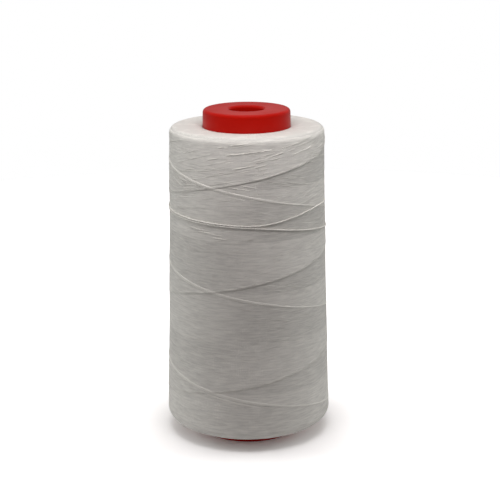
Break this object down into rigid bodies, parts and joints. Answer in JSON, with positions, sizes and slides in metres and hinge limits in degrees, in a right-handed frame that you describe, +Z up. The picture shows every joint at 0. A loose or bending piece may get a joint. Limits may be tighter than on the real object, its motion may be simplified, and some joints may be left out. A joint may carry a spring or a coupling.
{
  "type": "cone of thread",
  "caption": "Cross-wound cone of white sewing thread on a tapered red plastic core with a bare collar and a spindle hole.",
  "frame": {"origin": "centre of the core's foot, on the surface the cone stands on", "axes": "+Z up along the core's axis; the side that faces the viewer looks along -Y"},
  "size_m": [0.0732, 0.0732, 0.145],
  "materials": {
    "core_plastic": "moulded, satin gloss",
    "thread": "spun polyester thread, soft sheen"
  },
  "bodies": {
    "root": {"core": "core_plastic", "thread_package": "thread"}
  },
  "joints": []
}
